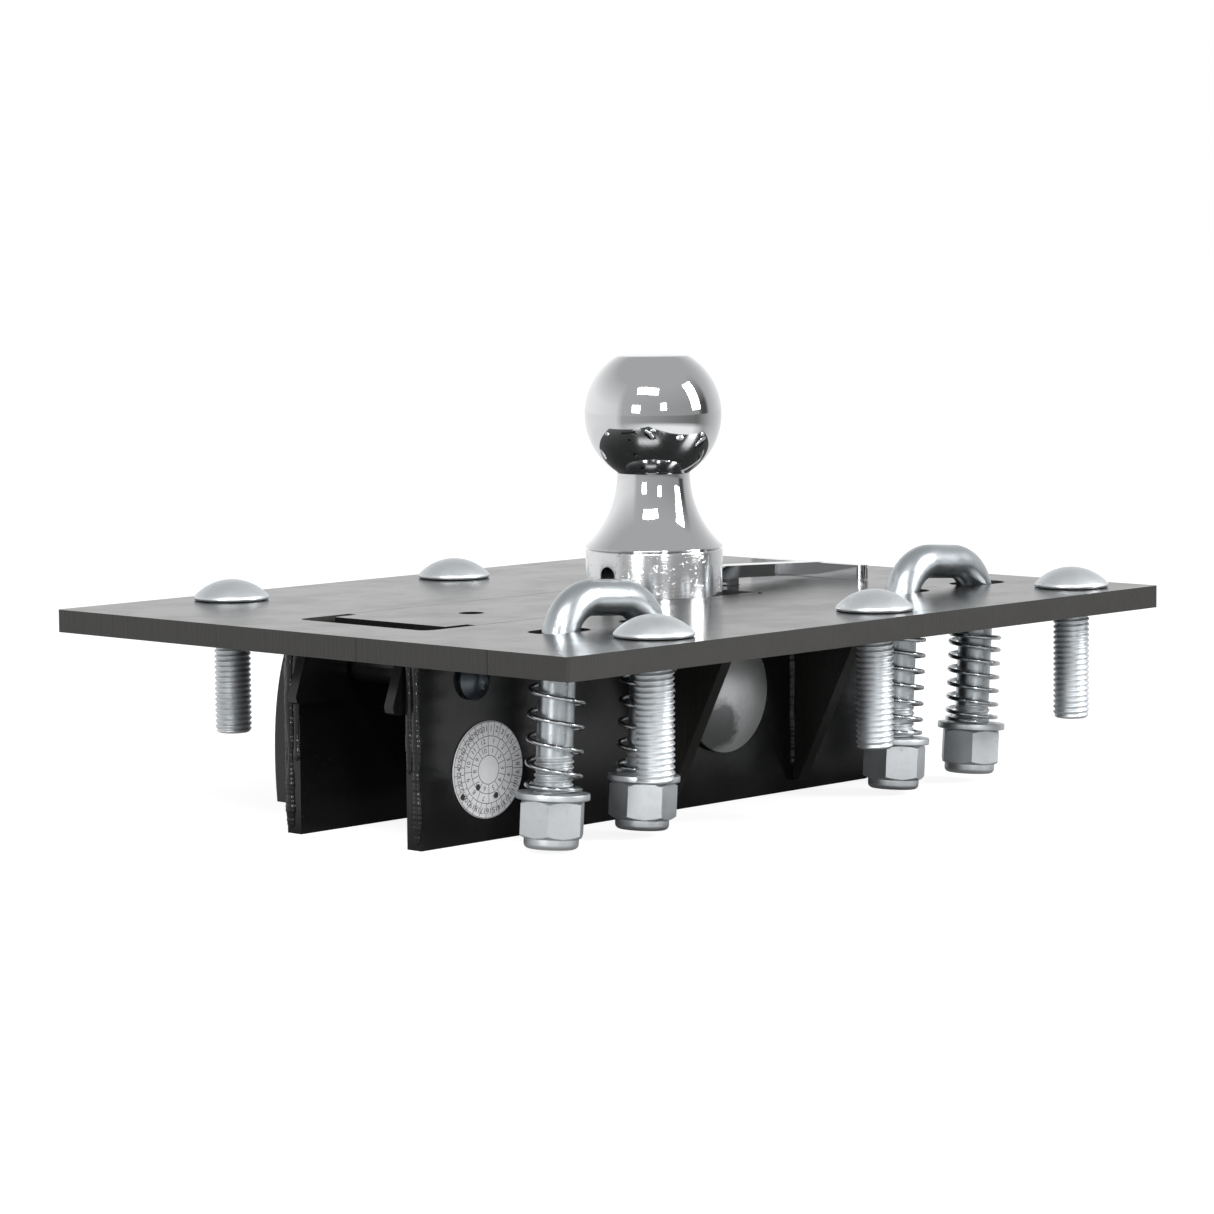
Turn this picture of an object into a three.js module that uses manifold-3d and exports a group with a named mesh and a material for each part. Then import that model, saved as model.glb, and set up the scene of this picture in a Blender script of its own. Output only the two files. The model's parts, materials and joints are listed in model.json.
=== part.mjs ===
// Over-bed folding-ball gooseneck hitch for a pickup bed, in millimetres, +Z up.
// X runs along the two rails, with the well that the ball folds into on the -X side.
// Y runs across them, with the safety-chain U-bolts on the -Y side.
// Everything is laid out from the ball's axis at the deck's top face, and the whole
// assembly is then moved so that its origin is the middle of its footprint, at the floor.
import * as THREE from 'three';
import { mergeVertices } from 'three/addons/utils/BufferGeometryUtils.js';
import Module from 'manifold-3d';

const wasm = await Module();
wasm.setup();

// Driving dimensions
const GAP = 0.3; // air kept between pieces that touch
const DECK = { left: -208, right: 162, halfWidth: 148, thick: 9.5 };
const SLOT = { left: -173.8, right: 31, halfWidth: 37.6, cornerRadius: 5 };
const RAIL = { left: -178.9, right: 100, inner: 31, thick: 8, foot: -87, toe: 6 };
const BALL = { radius: 29.37, centre: 77.1, topFlat: 25.1, neckRadius: 15.6 };
const FLARE = { radius: 42, centreR: 57.6, centreZ: 52, top: 50, bottom: 21 };
const BASE = { radius: 29.5, top: 19.7, bottom: -9.7, chamfer: 0.9, barHoleRadius: 4, barHoleZ: 9.3 };
const PIVOT = { z: -40, pinRadius: 15.6, boreRadius: 16, headRadius: 25.4, headHeight: 9.5 };
const BLOCK = { halfX: 29, halfY: 29.5, top: -10, endRadius: 29 };
const COVER = { tip: -157.5, shoulder: -145.2, tongueHalf: 32, halfWidth: 37.1, ballGap: 1.1 };
const COVER_HOLES = [-111, -51];
const COVER_HOLE_RADIUS = 5.25;
const BOLT = { rowX: [-133.35, 0, 133.35], rowY: 122.7, headRadius: 16, headHeight: 8.5, shank: 7.8, length: 57.2 };
const NECK = { half: 7.9, depth: 8.2, hole: 8.5 };
const GUSSET = { xs: [-35.6, 47.9], width: 38.5, thick: 6, drop: 72.5, nose: 3 };
const CROSS = { x: -149.6, z: -21, boltRadius: 3.9, sleeveRadius: 5.4, headRadius: 8.5 };
const LABEL = { x: -141.9, z: -58.2, radius: 19.7, thick: 0.6 };
const CHAIN_LOOP = {
  y: -78.5, halfSpan: 26.2, barRadius: 7.3, threadRadius: 7.8, apex: 11.2, cornerRadius: 18,
  lean: THREE.MathUtils.degToRad(4), slotHalf: 14, slotWidth: 18, threadTop: -48,
};
const CHAIN_LOOPS = [
  { name: 'left', x: -114.2, nutFoot: [-87.6, -82.3] },
  { name: 'right', x: 97.5, nutFoot: [-86.6, -81.6] },
];
const NUT = { acrossFlats: 23.8, height: 14.6, collarRadius: 10.9, collarHeight: 4.5 };
const WASHER = { radius: 14.7, thick: 2.8 };
const SPRING = { coilRadius: 10.7, wireRadius: 0.85, turns: 7, top: -11.6, stepsPerTurn: 9 };
const LOCK = {
  x: 48, z: -15, pinRadius: 3, stemHalf: 5, legHalf: 2.5, stemLeft: 38, tongueTip: 30.7,
  barX: 105, barHalfX: 3.2, barNear: -31, barFar: 36, barTop: 6.6,
};
const LOCK_SLOT = { left: 38.6, right: 53.5, halfWidth: 3.5 };
const EAR = { y: 3.5, thick: 4, halfX: 6.5, drop: 11 };

const railOuter = RAIL.inner + RAIL.thick;
const deckUnderside = -DECK.thick;
const pieces = new THREE.Group();

// Finishes
const finish = (color, roughness, metalness) => () =>
  new THREE.MeshStandardMaterial({ color, roughness, metalness });
const blackCoat = finish(0x151516, 0.45, 0.1);
const chrome = finish(0xc9cacc, 0.08, 1);
const zinc = finish(0xaab2b8, 0.38, 0.9);
const castSteel = finish(0x8f9397, 0.45, 0.8);
const springSteel = finish(0xb4bbc0, 0.3, 0.95);
const labelWhite = finish(0xd9dadc, 0.5, 0);

function add(name, geometry, material, parent = pieces) {
  const mesh = new THREE.Mesh(geometry, material());
  mesh.name = name;
  parent.add(mesh);
  return mesh;
}

// Solid joins and cuts
function toSolid(geometry) {
  const bare = geometry.clone();
  bare.deleteAttribute('normal');
  bare.deleteAttribute('uv');
  const merged = mergeVertices(bare, 1e-4);
  return new wasm.Manifold(new wasm.Mesh({
    numProp: 3,
    vertProperties: new Float32Array(merged.attributes.position.array),
    triVerts: new Uint32Array(merged.index.array),
  }));
}

function toGeometry(solid) {
  const mesh = solid.getMesh();
  const geometry = new THREE.BufferGeometry();
  geometry.setAttribute('position', new THREE.BufferAttribute(new Float32Array(mesh.vertProperties), 3));
  geometry.setIndex(new THREE.BufferAttribute(new Uint32Array(mesh.triVerts), 1));
  geometry.computeVertexNormals();
  return geometry;
}

function join(first, ...others) {
  return toGeometry(others.reduce((solid, next) => solid.add(toSolid(next)), toSolid(first)));
}

function cut(first, ...tools) {
  return toGeometry(tools.reduce((solid, tool) => solid.subtract(toSolid(tool)), toSolid(first)));
}

// Plates and turned shapes. Where an arc meets the next edge only one of the two points is kept,
// and every outline runs anticlockwise.
function tidyLoop(points) {
  const kept = points.filter((point, i) => point.distanceTo(points.at(i - 1)) > 1e-3);
  return THREE.ShapeUtils.isClockWise(kept) ? kept.reverse() : kept;
}

function extrude(shape, depth, curveSegments = 12) {
  const outlines = shape.extractPoints(curveSegments);
  const clean = new THREE.Shape(tidyLoop(outlines.shape));
  clean.holes = outlines.holes.map((hole) => new THREE.Path(tidyLoop(hole).reverse()));
  return new THREE.ExtrudeGeometry(clean, { depth, bevelEnabled: false });
}

// A flat plate lying in XY, from z up by its thickness.
function flatPlate(shape, z, thick, curveSegments) {
  return extrude(shape, thick, curveSegments).translate(0, 0, z);
}

// A plate standing along X: the shape's x is X, its y is Z, and it fills Y from yLow to yHigh.
function lengthwisePlate(shape, yLow, yHigh, curveSegments) {
  return extrude(shape, yHigh - yLow, curveSegments).rotateX(Math.PI / 2).translate(0, yHigh, 0);
}

// A plate standing across: the shape's x is Y, its y is Z, and it is centred on X.
function crosswisePlate(shape, x, thick) {
  const turn = new THREE.Matrix4().makeBasis(
    new THREE.Vector3(0, 1, 0), new THREE.Vector3(0, 0, 1), new THREE.Vector3(1, 0, 0));
  return extrude(shape, thick).applyMatrix4(turn).translate(x - thick / 2, 0, 0);
}

function outline(points) {
  return new THREE.Shape(points.map(([x, y]) => new THREE.Vector2(x, y)));
}

function roundedRectangle(left, bottom, right, top, radius, target = new THREE.Path()) {
  target.moveTo(left + radius, bottom);
  target.lineTo(right - radius, bottom);
  target.absarc(right - radius, bottom + radius, radius, -Math.PI / 2, 0, false);
  target.lineTo(right, top - radius);
  target.absarc(right - radius, top - radius, radius, 0, Math.PI / 2, false);
  target.lineTo(left + radius, top);
  target.absarc(left + radius, top - radius, radius, Math.PI / 2, Math.PI, false);
  target.lineTo(left, bottom + radius);
  target.absarc(left + radius, bottom + radius, radius, Math.PI, Math.PI * 1.5, false);
  return target;
}

function roundHole(x, y, radius) {
  return new THREE.Path().absarc(x, y, radius, 0, Math.PI * 2, true);
}

// A shape turned about Z from [radius, height] points that start and end on the axis.
function turned(profile, segments) {
  const points = profile.map(([r, z]) => new THREE.Vector2(r, z));
  return new THREE.LatheGeometry(points, segments).rotateX(Math.PI / 2);
}

function ring(inner, outer, low, high, segments) {
  return turned([[inner, low], [outer, low], [outer, high], [inner, high], [inner, low]], segments);
}

// Points of a shallow domed head from its rim in to the axis.
function domePoints(radius, height, rim, low, steps) {
  const sphere = (radius ** 2 + (height - rim) ** 2) / (2 * (height - rim));
  const half = Math.asin(radius / sphere);
  const points = [];
  for (let i = 0; i <= steps; i += 1) {
    const angle = half * (1 - i / steps);
    points.push([sphere * Math.sin(angle), low + height - sphere + sphere * Math.cos(angle)]);
  }
  points[steps][0] = 0;
  return points;
}

function cylinderAlong(axis, radius, length, segments) {
  const geometry = new THREE.CylinderGeometry(radius, radius, length, segments);
  if (axis === 'x') return geometry.rotateZ(Math.PI / 2);
  if (axis === 'z') return geometry.rotateX(Math.PI / 2);
  return geometry;
}

// Deck plate with the well's slot, the U-bolt slots, the square bolt holes and the lock's slot
function chainLegs(loop) {
  return [loop.x - CHAIN_LOOP.halfSpan, loop.x + CHAIN_LOOP.halfSpan];
}

function deckPlate() {
  const shape = roundedRectangle(
    DECK.left, -DECK.halfWidth, DECK.right, DECK.halfWidth, 1.5, new THREE.Shape());
  shape.holes.push(roundedRectangle(
    SLOT.left, -SLOT.halfWidth, SLOT.right, SLOT.halfWidth, SLOT.cornerRadius));
  shape.holes.push(roundedRectangle(
    LOCK_SLOT.left, -LOCK_SLOT.halfWidth, LOCK_SLOT.right, LOCK_SLOT.halfWidth, 2));
  for (const loop of CHAIN_LOOPS) {
    for (const x of chainLegs(loop)) {
      const half = CHAIN_LOOP.slotWidth / 2;
      shape.holes.push(roundedRectangle(
        x - CHAIN_LOOP.slotHalf, CHAIN_LOOP.y - half, x + CHAIN_LOOP.slotHalf, CHAIN_LOOP.y + half, half - 0.1));
    }
  }
  for (const x of BOLT.rowX) {
    for (const y of [-BOLT.rowY, BOLT.rowY]) {
      shape.holes.push(roundedRectangle(x - NECK.hole, y - NECK.hole, x + NECK.hole, y + NECK.hole, 0.5));
    }
  }
  return flatPlate(shape, deckUnderside, DECK.thick, 2);
}

// Rails, gussets and the small welded pieces
function rail(yLow, yHigh) {
  const top = deckUnderside - GAP;
  const shape = new THREE.Shape();
  shape.moveTo(RAIL.left, RAIL.foot);
  shape.lineTo(RAIL.right - RAIL.toe, RAIL.foot);
  shape.absarc(RAIL.right - RAIL.toe, RAIL.foot + RAIL.toe, RAIL.toe, -Math.PI / 2, 0, false);
  shape.lineTo(RAIL.right, top);
  shape.lineTo(RAIL.left, top);
  shape.closePath();
  shape.holes.push(roundHole(0, PIVOT.z, PIVOT.boreRadius));
  shape.holes.push(roundHole(CROSS.x, CROSS.z, CROSS.boltRadius + GAP));
  return lengthwisePlate(shape, yLow, yHigh, 16);
}

function gusset(side, x) {
  const inner = railOuter + GAP;
  const top = deckUnderside - GAP;
  const shape = outline([
    [side * inner, top],
    [side * inner, top - GUSSET.drop],
    [side * (inner + GUSSET.nose), top - GUSSET.drop],
    [side * (inner + GUSSET.width), top - GUSSET.nose],
    [side * (inner + GUSSET.width), top],
  ]);
  return crosswisePlate(shape, x, GUSSET.thick);
}

// A stiffener with a bulging outer face, on the far rail's end.
function endStiffener() {
  const inner = railOuter + GAP;
  const low = -75;
  const high = -14;
  const shape = new THREE.Shape();
  shape.moveTo(inner, low);
  shape.lineTo(inner + 7, low);
  shape.quadraticCurveTo(inner + 10.5, (low + high) / 2 + 6, inner + 1.5, high);
  shape.lineTo(inner, high);
  shape.closePath();
  return crosswisePlate(shape, RAIL.left + 9, 16);
}

// A triangular tab on a rail's inner face, under the deck's left end.
function endTab(yLow, yHigh) {
  const top = deckUnderside - GAP;
  return lengthwisePlate(outline([
    [RAIL.left + 0.5, top],
    [RAIL.left - 6.6, top - 20],
    [RAIL.left - 6, top - 22.5],
    [RAIL.left - 4, top - 23.5],
    [RAIL.left + 20, top - 23.5],
    [RAIL.left + 23, top],
  ]), yLow, yHigh);
}

function weldedFrame() {
  add('deck_plate', deckPlate(), blackCoat);
  add('rail_near', rail(-railOuter, -RAIL.inner), blackCoat);
  add('rail_far', rail(RAIL.inner, railOuter), blackCoat);
  for (const [sideName, side] of [['near', -1], ['far', 1]]) {
    GUSSET.xs.forEach((x, i) => {
      add(`gusset_${sideName}_${i === 0 ? 'left' : 'right'}`, gusset(side, x), blackCoat);
    });
  }
  add('end_stiffener', endStiffener(), blackCoat);
  const tabInner = RAIL.inner - GAP - 5;
  add('end_tab_near', endTab(-RAIL.inner + GAP, -tabInner), blackCoat);
  add('end_tab_far', endTab(tabInner, RAIL.inner - GAP), blackCoat);
}

// The cross bolt that ties the rails together at the well's end
function crossBolt() {
  const headY = railOuter + GAP;
  const profile = [
    [0, headY + 5.5],
    ...domePoints(CROSS.headRadius, 5.5, 2, headY, 4).slice(0, -1).reverse(),
    [CROSS.headRadius, headY],
    [CROSS.boltRadius, headY],
    [CROSS.boltRadius, -railOuter - 10],
    [0, -railOuter - 10],
  ];
  return turned(profile.reverse(), 20).rotateX(Math.PI / 2).translate(CROSS.x, 0, CROSS.z);
}

function crossTie() {
  add('cross_bolt', crossBolt(), blackCoat);
  const sleeve = ring(
    CROSS.boltRadius + GAP, CROSS.sleeveRadius, -RAIL.inner + 6, RAIL.inner - 6, 20);
  add('cross_sleeve', sleeve.rotateX(Math.PI / 2).translate(CROSS.x, 0, CROSS.z), blackCoat);
  const nut = hexNut(13, 6.5, CROSS.boltRadius + GAP, 0, 0).rotateX(-Math.PI / 2);
  add('cross_nut', nut.translate(CROSS.x, railOuter + GAP, CROSS.z), zinc);
}

// A hex nut standing on z = 0, its nylon collar on the side that collarHeight gives.
function hexNut(acrossFlats, height, boreRadius, collarRadius, collarHeight) {
  const corner = acrossFlats / Math.sqrt(3);
  const hexagon = [];
  for (let i = 0; i < 6; i += 1) {
    hexagon.push([corner * Math.cos(i * Math.PI / 3), corner * Math.sin(i * Math.PI / 3)]);
  }
  let body = extrude(outline(hexagon), height);
  const full = height + collarHeight;
  if (collarHeight > 0) {
    const collar = cylinderAlong('z', collarRadius, collarHeight + 1, 20);
    body = join(body, collar.translate(0, 0, height + (collarHeight - 1) / 2));
  }
  const bore = cylinderAlong('z', boreRadius, full + 2, 20);
  return cut(body, bore.translate(0, 0, full / 2));
}

// Fold pin with its big domed head on the near side and a nut on the far side
function foldPin() {
  const headY = railOuter + GAP;
  const reduced = 12;
  const profile = [
    [0, -railOuter - 20],
    [reduced, -railOuter - 20],
    [reduced, -railOuter + 0.5],
    [PIVOT.pinRadius, -railOuter + 0.5],
    [PIVOT.pinRadius, headY],
    [PIVOT.headRadius, headY],
    ...domePoints(PIVOT.headRadius, PIVOT.headHeight, 2.2, headY, 7),
  ];
  const pin = turned(profile, 32).rotateX(Math.PI / 2).translate(0, 0, PIVOT.z);
  add('hinge_pin', pin, castSteel);
  const nut = hexNut(38, 15, reduced + GAP, 0, 0).rotateX(-Math.PI / 2);
  add('hinge_pin_nut', nut.translate(0, railOuter + GAP, PIVOT.z), zinc);
}

function inspectionLabel() {
  const disc = cylinderAlong('y', LABEL.radius, LABEL.thick, 40);
  add('inspection_label', disc.translate(LABEL.x, -railOuter - GAP - LABEL.thick / 2, LABEL.z), labelWhite);
}

// Carriage bolts: domed head, square neck and shank, hanging through the deck
function carriageBolt() {
  const profile = [
    [0, -BOLT.length],
    [BOLT.shank - 1, -BOLT.length],
    [BOLT.shank, -BOLT.length + 1],
    [BOLT.shank, 0],
    [BOLT.headRadius, 0],
    ...domePoints(BOLT.headRadius, BOLT.headHeight, 1.2, 0, 5),
  ];
  const neck = new THREE.BoxGeometry(NECK.half * 2, NECK.half * 2, NECK.depth);
  return join(turned(profile, 20), neck.translate(0, 0, -NECK.depth / 2 + 0.2));
}

function carriageBolts() {
  const shared = carriageBolt();
  let number = 1;
  for (const y of [-BOLT.rowY, BOLT.rowY]) {
    for (const x of BOLT.rowX) {
      add(`carriage_bolt_${number}`, shared.clone(), zinc).position.set(x, y, GAP);
      number += 1;
    }
  }
}

// Tow ball: flat-topped ball, neck, flare and round base with a cross hole for a bar
function towBall() {
  const profile = [
    [0, BASE.bottom],
    [BASE.radius, BASE.bottom],
    [BASE.radius, BASE.top - BASE.chamfer],
    [BASE.radius - BASE.chamfer, BASE.top],
  ];
  const flareSteps = 8;
  for (let i = 0; i <= flareSteps; i += 1) {
    const z = THREE.MathUtils.lerp(FLARE.bottom, FLARE.top, i / flareSteps);
    profile.push([FLARE.centreR - Math.sqrt(FLARE.radius ** 2 - (FLARE.centreZ - z) ** 2), z]);
  }
  const lowAngle = -Math.acos(BALL.neckRadius / BALL.radius);
  const highAngle = Math.asin(BALL.topFlat / BALL.radius);
  const ballSteps = 13;
  for (let i = 0; i <= ballSteps; i += 1) {
    const angle = THREE.MathUtils.lerp(lowAngle, highAngle, i / ballSteps);
    profile.push([BALL.radius * Math.cos(angle), BALL.centre + BALL.radius * Math.sin(angle)]);
  }
  profile.push([0, BALL.centre + BALL.topFlat]);
  const barHole = cylinderAlong('x', BASE.barHoleRadius, BASE.radius * 2 + 4, 16);
  return cut(turned(profile, 32), barHole.translate(0, 0, BASE.barHoleZ));
}

function ballBlock() {
  const shape = new THREE.Shape();
  shape.moveTo(BLOCK.halfX, PIVOT.z);
  shape.lineTo(BLOCK.halfX, BLOCK.top);
  shape.lineTo(-BLOCK.halfX, BLOCK.top);
  shape.lineTo(-BLOCK.halfX, PIVOT.z);
  shape.absarc(0, PIVOT.z, BLOCK.endRadius, Math.PI, Math.PI * 2, false);
  shape.holes.push(roundHole(0, PIVOT.z, PIVOT.boreRadius));
  return lengthwisePlate(shape, -BLOCK.halfY, BLOCK.halfY, 16);
}

// The cover plate: a tongue at the well's end and two arms round the ball's base
function slotCover() {
  const collar = BASE.radius + COVER.ballGap;
  const end = SLOT.right - GAP;
  const shape = new THREE.Shape();
  shape.moveTo(COVER.tip, -COVER.tongueHalf);
  shape.lineTo(COVER.shoulder, -COVER.tongueHalf);
  shape.lineTo(COVER.shoulder, -COVER.halfWidth);
  shape.lineTo(end - SLOT.cornerRadius, -COVER.halfWidth);
  shape.lineTo(end, -COVER.halfWidth + SLOT.cornerRadius);
  shape.lineTo(end, -collar);
  shape.lineTo(0, -collar);
  shape.absarc(0, 0, collar, -Math.PI / 2, Math.PI / 2, true);
  shape.lineTo(end, collar);
  shape.lineTo(end, COVER.halfWidth - SLOT.cornerRadius);
  shape.lineTo(end - SLOT.cornerRadius, COVER.halfWidth);
  shape.lineTo(COVER.shoulder, COVER.halfWidth);
  shape.lineTo(COVER.shoulder, COVER.tongueHalf);
  shape.lineTo(COVER.tip, COVER.tongueHalf);
  shape.closePath();
  for (const x of COVER_HOLES) shape.holes.push(roundHole(x, 0, COVER_HOLE_RADIUS));
  return flatPlate(shape, deckUnderside, DECK.thick, 12);
}

// The lock: a T-handle on the deck whose leg drops through it to a tongue behind the ball block
function lockLever() {
  const stem = lengthwisePlate(outline([
    [LOCK.stemLeft, 3.6],
    [LOCK.stemLeft + 0.6, 8.4],
    [LOCK.stemLeft + 3, 9.2],
    [LOCK.barX + 2, LOCK.barTop],
    [LOCK.barX + 2, 1.2],
    [LOCK.x + 8, 3.2],
  ]), -LOCK.stemHalf, LOCK.stemHalf, 8);
  const legSide = outline([
    [LOCK.x - 4, 5],
    [LOCK.x + 4, 5],
    [LOCK.x + 4, -19],
    [LOCK.x, -25],
    [LOCK.tongueTip, -25],
    [LOCK.tongueTip, -17],
    [LOCK.x - 4, -17],
  ]);
  legSide.holes.push(roundHole(LOCK.x, LOCK.z, LOCK.pinRadius + GAP));
  const leg = lengthwisePlate(legSide, -LOCK.legHalf, LOCK.legHalf, 8);
  const bar = flatPlate(roundedRectangle(
    LOCK.barX - LOCK.barHalfX, LOCK.barNear, LOCK.barX + LOCK.barHalfX, LOCK.barFar, 3,
    new THREE.Shape()), GAP, LOCK.barTop - GAP, 4);
  return join(join(stem, leg), bar);
}

function lockEar(yLow, yHigh) {
  const top = deckUnderside - GAP;
  const shape = roundedRectangle(
    LOCK.x - EAR.halfX, top - EAR.drop, LOCK.x + EAR.halfX, top, 1, new THREE.Shape());
  shape.holes.push(roundHole(LOCK.x, LOCK.z, LOCK.pinRadius + GAP));
  return lengthwisePlate(shape, yLow, yHigh, 6);
}

function lockMechanism() {
  add('lock_lever', lockLever(), chrome);
  add('lock_ear_near', lockEar(-EAR.y - EAR.thick, -EAR.y), blackCoat);
  add('lock_ear_far', lockEar(EAR.y, EAR.y + EAR.thick), blackCoat);
  const reach = EAR.y + EAR.thick + GAP;
  const pin = turned([
    [0, -reach - 7],
    [LOCK.pinRadius, -reach - 7],
    [LOCK.pinRadius, reach],
    [LOCK.pinRadius + 2, reach],
    [LOCK.pinRadius + 2, reach + 2],
    [0, reach + 2],
  ], 16).rotateX(Math.PI / 2);
  add('lock_pin', pin.translate(LOCK.x, 0, LOCK.z), zinc);
  const coil = spring(LOCK.pinRadius + 1.4, 0.6, 2.5, 4.6, 12).rotateX(-Math.PI / 2);
  add('lock_spring', coil.translate(LOCK.x, reach + 0.9, LOCK.z), springSteel);
}

// A helical spring standing on z = 0
class Helix extends THREE.Curve {
  constructor(radius, turns, rise) {
    super();
    Object.assign(this, { radius, turns, rise });
  }

  getPoint(t, target = new THREE.Vector3()) {
    const angle = -t * this.turns * Math.PI * 2;
    return target.set(this.radius * Math.cos(angle), this.radius * Math.sin(angle), t * this.rise);
  }
}

function spring(radius, wireRadius, turns, height, stepsPerTurn) {
  const section = new THREE.Shape().absarc(0, 0, wireRadius, 0, Math.PI * 2, false);
  return new THREE.ExtrudeGeometry(section, {
    steps: Math.round(turns * stepsPerTurn),
    extrudePath: new Helix(radius, turns, height - wireRadius * 2),
    curveSegments: 3,
    bevelEnabled: false,
  }).translate(0, 0, wireRadius);
}

// The bent top of a U-bolt in its own XZ plane: two rounded corners and a short straight
class LoopTop extends THREE.Curve {
  getPoint(t, target = new THREE.Vector3()) {
    const { halfSpan, cornerRadius, apex } = CHAIN_LOOP;
    const arc = cornerRadius * Math.PI / 2;
    const straight = 2 * (halfSpan - cornerRadius);
    const s = t * (2 * arc + straight);
    const centreX = halfSpan - cornerRadius;
    const centreZ = apex - cornerRadius;
    if (s <= arc) {
      const angle = Math.PI - s / cornerRadius;
      return target.set(
        -centreX + cornerRadius * Math.cos(angle), 0, centreZ + cornerRadius * Math.sin(angle));
    }
    if (s <= arc + straight) return target.set(-centreX + s - arc, 0, apex);
    const angle = Math.PI / 2 - (s - arc - straight) / cornerRadius;
    return target.set(
      centreX + cornerRadius * Math.cos(angle), 0, centreZ + cornerRadius * Math.sin(angle));
  }
}

function chainLoop(nutFoot) {
  const { halfSpan, barRadius, threadRadius, apex, cornerRadius, threadTop } = CHAIN_LOOP;
  const section = new THREE.Shape().absarc(0, 0, barRadius, 0, Math.PI * 2, false);
  const bend = new THREE.ExtrudeGeometry(section, {
    steps: 14, extrudePath: new LoopTop(), curveSegments: 6, bevelEnabled: false,
  });
  const legs = [];
  [-halfSpan, halfSpan].forEach((x, i) => {
    const top = apex - cornerRadius + 0.5;
    const foot = nutFoot[i] + 1.2;
    const shank = cylinderAlong('z', barRadius + 0.04, top - foot, 12);
    const thread = cylinderAlong('z', threadRadius, threadTop - foot, 16);
    legs.push(shank.translate(x, 0, (top + foot) / 2));
    legs.push(thread.translate(x, 0, (threadTop + foot) / 2));
  });
  return join(bend, ...legs);
}

function chainLoops() {
  let number = 1;
  for (const loop of CHAIN_LOOPS) {
    const leaning = new THREE.Group();
    leaning.position.set(loop.x, CHAIN_LOOP.y, 0);
    leaning.rotation.y = CHAIN_LOOP.lean;
    pieces.add(leaning);
    add(`ubolt_${loop.name}`, chainLoop(loop.nutFoot), zinc, leaning);
    [-CHAIN_LOOP.halfSpan, CHAIN_LOOP.halfSpan].forEach((x, i) => {
      const bore = CHAIN_LOOP.threadRadius + GAP;
      const nutHeight = NUT.height + NUT.collarHeight;
      const nutTop = loop.nutFoot[i] + nutHeight;
      const nut = hexNut(NUT.acrossFlats, NUT.height, bore, NUT.collarRadius, NUT.collarHeight);
      add(`nut_${number}`, nut.rotateX(Math.PI), zinc, leaning).position.set(x, 0, nutTop);
      const washerLow = nutTop + GAP;
      const washer = ring(bore, WASHER.radius, washerLow, washerLow + WASHER.thick, 20);
      add(`washer_${number}`, washer, zinc, leaning).position.set(x, 0, 0);
      const springLow = washerLow + WASHER.thick + GAP;
      const coil = spring(
        SPRING.coilRadius, SPRING.wireRadius, SPRING.turns, SPRING.top - springLow, SPRING.stepsPerTurn);
      add(`spring_${number}`, coil, springSteel, leaning).position.set(x, 0, springLow);
      number += 1;
    });
  }
}

weldedFrame();
crossTie();
foldPin();
inspectionLabel();
carriageBolts();
add('ball_block', ballBlock(), castSteel);
add('tow_ball', towBall(), chrome);
add('slot_cover', slotCover(), blackCoat);
lockMechanism();
chainLoops();

pieces.position.set(-(DECK.left + DECK.right) / 2, 0, -RAIL.foot);
const hitch = new THREE.Group();
hitch.add(pieces);

export default hitch;
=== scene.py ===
import json
import math
import random

import bmesh
import bpy
from mathutils import Matrix, Vector, noise


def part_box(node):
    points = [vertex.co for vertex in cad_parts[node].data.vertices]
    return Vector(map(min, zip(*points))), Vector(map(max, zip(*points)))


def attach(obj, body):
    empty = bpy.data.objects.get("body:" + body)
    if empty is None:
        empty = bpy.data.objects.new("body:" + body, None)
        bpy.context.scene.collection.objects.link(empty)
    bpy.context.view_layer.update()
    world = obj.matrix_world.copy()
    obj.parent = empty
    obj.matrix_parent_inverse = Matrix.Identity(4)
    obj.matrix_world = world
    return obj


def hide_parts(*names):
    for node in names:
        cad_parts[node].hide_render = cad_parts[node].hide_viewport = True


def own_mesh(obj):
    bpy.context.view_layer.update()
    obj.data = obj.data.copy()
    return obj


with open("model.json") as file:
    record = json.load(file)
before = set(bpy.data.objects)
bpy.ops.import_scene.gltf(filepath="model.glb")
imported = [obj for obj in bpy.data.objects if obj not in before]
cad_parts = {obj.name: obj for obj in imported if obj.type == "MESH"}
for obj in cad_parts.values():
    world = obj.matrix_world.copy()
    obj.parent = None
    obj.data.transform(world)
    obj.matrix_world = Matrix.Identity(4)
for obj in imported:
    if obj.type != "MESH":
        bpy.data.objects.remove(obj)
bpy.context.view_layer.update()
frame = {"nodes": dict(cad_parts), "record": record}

# Everything below is in metres, and a size written in millimetres is multiplied by MM.
MM = 0.001
INCH = 25.4 * MM

# The camera stands where the pictured view is taken from.
CAMERA = {"azimuth": -46.65, "elevation": 5.5, "roll": -0.5, "distance": 1.779, "lens": 122.6}
CAMERA_AIM = Vector((9.0, 14.9, 81.2)) * MM

BALL = {"radius": 29.37 * MM, "neck": 15.6 * MM, "flare": 42 * MM, "base": 29.5 * MM}
BALL_HEIGHTS = {"centre": 77.1 * MM, "flat": 25.1 * MM, "flare_top": 52 * MM, "base_top": 19.7 * MM}
BAR_HOLE = {"radius": 4 * MM, "height": 9.3 * MM}
THREAD = {"pitch": INCH / 11, "radius": 7.85 * MM, "depth": 0.95 * MM}
BOLT = {"head": 8.5 * MM, "rim": 1.3 * MM, "neck_half": 7.9 * MM, "neck_depth": 7.6 * MM}
NUT = {"across": 23.8 * MM, "height": 14.6 * MM, "collar": 10.9 * MM, "collar_height": 4.5 * MM}
WASHER = {"radius": 14.7 * MM, "thick": 2.8 * MM, "edge": 0.5 * MM}
UBOLT = {"bar": 7.3 * MM, "corner": 18 * MM, "plain_length": 62 * MM}
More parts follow.
